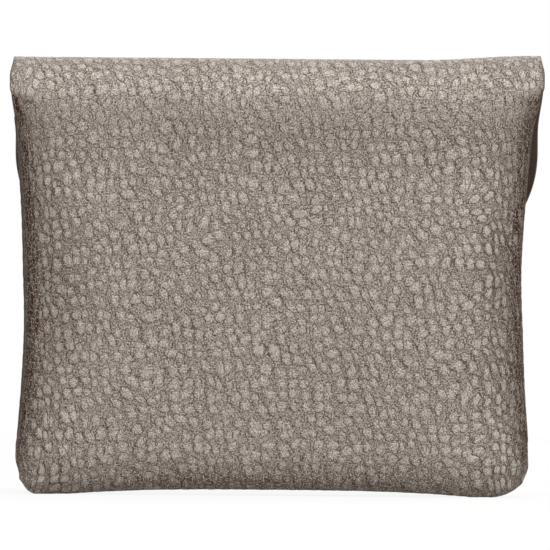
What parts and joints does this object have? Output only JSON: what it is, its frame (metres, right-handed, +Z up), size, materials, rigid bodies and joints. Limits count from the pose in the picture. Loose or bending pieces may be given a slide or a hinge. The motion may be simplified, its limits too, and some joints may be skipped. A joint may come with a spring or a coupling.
{
  "type": "leather flap wallet",
  "caption": "Small pebbled leather wallet with a press-stud flap, side bellows, card slots and a zipped coin pocket; the flap, front, coin pocket and zip move.",
  "frame": {"origin": "centre of the base, on the surface that the closed wallet stands on", "axes": "+X along the width, +Y from the back towards the flap and front, +Z up"},
  "size_m": [0.125, 0.0292, 0.102],
  "materials": {
    "hide": "metallic taupe pebbled leather",
    "bellows_leather": "thin smooth leather",
    "lining": "woven textile lining",
    "pocket_leather": "thin smooth leather",
    "zip_tape": "woven tape",
    "nickel": "polished nickel plate"
  },
  "bodies": {
    "body": {"back_panel": "hide", "back_lining": "lining", "card_slot_1": "pocket_leather", "card_slot_2": "pocket_leather", "card_slot_3": "pocket_leather", "gusset_left": "bellows_leather", "gusset_right": "bellows_leather"},
    "front": {"front_panel": "hide", "front_lining": "lining", "snap_post": "nickel", "snap_stud": "nickel"},
    "coin_pocket": {"coin_wall_rear": "pocket_leather", "coin_wall_front": "pocket_leather", "coin_edge": "pocket_leather", "zip_tape_rear": "zip_tape", "zip_tape_front": "zip_tape", "zip_chain_rear": "nickel", "zip_chain_front": "nickel", "zip_stop_left": "nickel", "zip_stop_right": "nickel"},
    "zip_slider": {"zip_slider": "nickel"},
    "zip_pull": {"zip_pull": "nickel"},
    "flap_bridge": {"bridge_leather": "hide", "bridge_lining": "lining"},
    "flap": {"flap_leather": "hide", "flap_lining": "lining", "snap_cap": "nickel", "snap_socket": "nickel"}
  },
  "joints": [
    {"name": "bridge_fold", "type": "hinge", "parent": "body", "child": "flap_bridge", "pos_m": [0, -0.01167, 0.09907], "axis": [1, 0, 0], "range_deg": [0, 90]},
    {"name": "flap_open", "type": "hinge", "parent": "flap_bridge", "child": "flap", "pos_m": [0, 0.01057, 0.09907], "axis": [1, 0, 0], "range_deg": [0, 90]},
    {"name": "front_open", "type": "hinge", "parent": "body", "child": "front", "pos_m": [0, 0.0084, 0.0035], "axis": [-1, 0, 0], "range_deg": [0, 10], "deforming": ["gusset_left", "gusset_right"]},
    {"name": "coin_tilt", "type": "hinge", "parent": "body", "child": "coin_pocket", "pos_m": [-0.0007, -0.00115, 0.00305], "axis": [-1, 0, 0], "range_deg": [0, 5]},
    {"name": "zip_slide", "type": "slide", "parent": "coin_pocket", "child": "zip_slider", "axis": [-1, 0, 0], "range_m": [0, 0.057]},
    {"name": "pull_swing", "type": "hinge", "parent": "zip_slider", "child": "zip_pull", "pos_m": [0.028, -0.00115, 0.07125], "axis": [0, 1, 0], "range_deg": [0, 110]}
  ],
  "couplings": [
    {"joint": "bridge_fold", "follows": "flap_open", "ratio": 1},
    {"joint": "front_open", "follows": "flap_open", "ratio": 0.1111},
    {"joint": "coin_tilt", "follows": "flap_open", "ratio": 0.0555}
  ]
}
